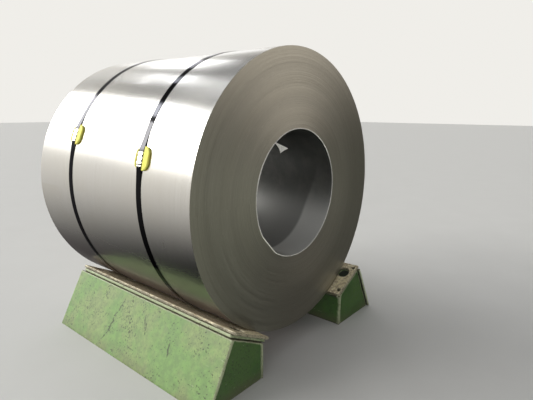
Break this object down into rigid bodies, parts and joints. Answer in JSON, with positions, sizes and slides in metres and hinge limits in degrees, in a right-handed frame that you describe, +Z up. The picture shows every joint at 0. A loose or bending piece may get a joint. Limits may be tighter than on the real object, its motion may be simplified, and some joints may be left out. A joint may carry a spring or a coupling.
{
  "type": "steel coil",
  "caption": "Wide steel coil lying bore-level on two welded chocks, held by leaning steel straps with crimped seals over thick pads.",
  "frame": {"origin": "on the floor, in the middle of the outline in X and Y", "axes": "+Z up, +Y along the coil's axis from its front end, which shows in the picture, to its back end, +X to the right seen from the front end"},
  "size_m": [1.3606, 1.312, 1.4761],
  "materials": {
    "coil_steel": "cold-rolled satin, turns showing on the ends",
    "strap_steel": "glossy black strapping",
    "seal_steel": "bright zinc",
    "yellow_pad": "satin yellow foam-plastic",
    "tape": "grey paper tape",
    "green_paint": "worn green paint, chipped and rubbed",
    "worn_steel": "bare, worn and stained"
  },
  "bodies": {
    "root": {"coil": "coil_steel", "strap_front": "strap_steel", "seal_front": "seal_steel", "pad_front": "yellow_pad", "strap_back": "strap_steel", "seal_back": "seal_steel", "pad_back": "yellow_pad", "bore_tape": "tape", "left_liner": "worn_steel", "left_seat_plate": "green_paint", "left_outer_plate": "green_paint", "left_inner_plate": "green_paint", "left_front_end_plate": "green_paint", "left_back_end_plate": "green_paint", "right_liner": "worn_steel", "right_seat_plate": "green_paint", "right_outer_plate": "green_paint", "right_inner_plate": "green_paint", "right_front_end_plate": "green_paint", "right_back_end_plate": "green_paint"}
  },
  "joints": []
}
